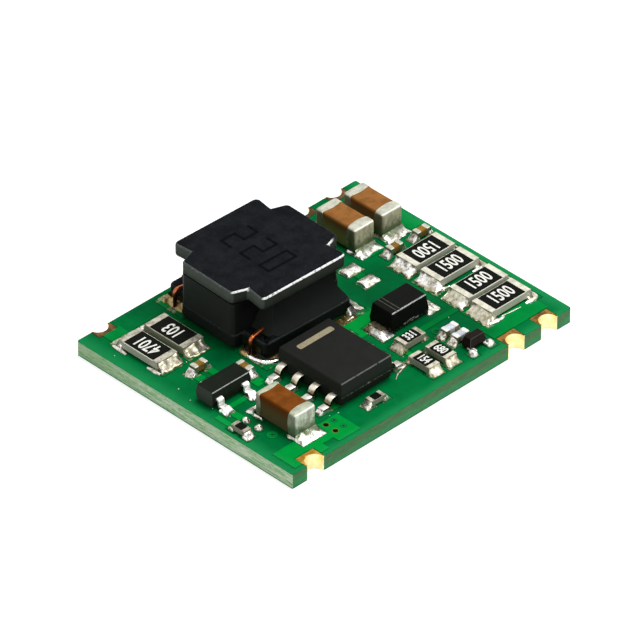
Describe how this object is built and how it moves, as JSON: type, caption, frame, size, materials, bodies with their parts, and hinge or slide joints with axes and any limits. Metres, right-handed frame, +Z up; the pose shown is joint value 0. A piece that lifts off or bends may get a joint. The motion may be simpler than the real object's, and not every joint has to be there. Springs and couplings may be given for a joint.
{
  "type": "isolated dc-dc converter module",
  "caption": "Small open-board dc-dc converter: a castellated green board with a drum inductor, controller, diode, transistors and chip parts, for soldering onto a carrier board.",
  "frame": {"origin": "middle of the board's underside", "axes": "+X along the board's long edge, +Y across it away from the front edge with the deeper half holes, +Z up out of the side that carries the parts"},
  "size_m": [0.0212, 0.0166, 0.0048],
  "materials": {
    "laminate": "cut edge of woven glass laminate",
    "copper": "bare copper foil and plating",
    "solder_mask": "glossy green solder mask",
    "gold_plating": "gold flash on copper",
    "ferrite": "ground sintered ferrite, matte",
    "enamelled_wire": "enamelled copper wire",
    "resin": "ferrite-filled resin",
    "moulding": "moulded epoxy, fine matte",
    "tinned_lead": "matte tin plating",
    "end_tin": "matte tin plating",
    "solder": "bright reflowed solder",
    "alumina": "white alumina",
    "glaze": "black overglaze",
    "brown_ceramic": "sintered brown dielectric",
    "grey_ceramic": "sintered light grey dielectric"
  },
  "bodies": {
    "root": {"bare_pad_solder": "solder", "brown_capacitor_ceramics": "brown_ceramic", "castellation_1": "gold_plating", "castellation_2": "gold_plating", "castellation_3": "gold_plating", "castellation_4": "gold_plating", "castellation_5": "gold_plating", "castellation_6": "gold_plating", "chip_solder": "solder", "copper_bottom": "copper", "copper_top": "copper", "diode_body": "moulding", "diode_leads": "tinned_lead", "grey_capacitor_ceramics": "grey_ceramic", "ic_body": "moulding", "ic_leads": "tinned_lead", "inductor_core": "ferrite", "inductor_electrodes": "tinned_lead", "inductor_resin": "resin", "inductor_solder": "solder", "inductor_winding": "enamelled_wire", "laminate": "laminate", "lead_solder": "solder", "left_capacitor_ceramic": "brown_ceramic", "left_capacitor_ends": "end_tin", "left_resistor_1_ends": "end_tin", "left_resistor_1_glaze": "glaze", "left_resistor_1_substrate": "alumina", "left_resistor_2_ends": "end_tin", "left_resistor_2_glaze": "glaze", "left_resistor_2_substrate": "alumina", "mask_bottom": "solder_mask", "mask_top": "solder_mask", "rear_capacitor_1_ceramic": "brown_ceramic", "rear_capacitor_1_ends": "end_tin", "rear_capacitor_2_ceramic": "brown_ceramic", "rear_capacitor_2_ends": "end_tin", "sense_resistor_1_ends": "end_tin", "sense_resistor_1_glaze": "glaze", "sense_resistor_1_substrate": "alumina", "sense_resistor_2_ends": "end_tin", "sense_resistor_2_glaze": "glaze", "sense_resistor_2_substrate": "alumina", "sense_resistor_3_ends": "end_tin", "sense_resistor_3_glaze": "glaze", "sense_resistor_3_substrate": "alumina", "sense_resistor_4_ends": "end_tin", "sense_resistor_4_glaze": "glaze", "sense_resistor_4_substrate": "alumina", "small_capacitor_ends": "end_tin", "small_resistor_ends": "end_tin", "small_resistor_glazes": "glaze", "small_resistor_substrates": "alumina", "small_transistor_body": "moulding", "small_transistor_leads": "tinned_lead", "transistor_body": "moulding", "transistor_leads": "tinned_lead", "via_barrels": "copper"}
  },
  "joints": []
}
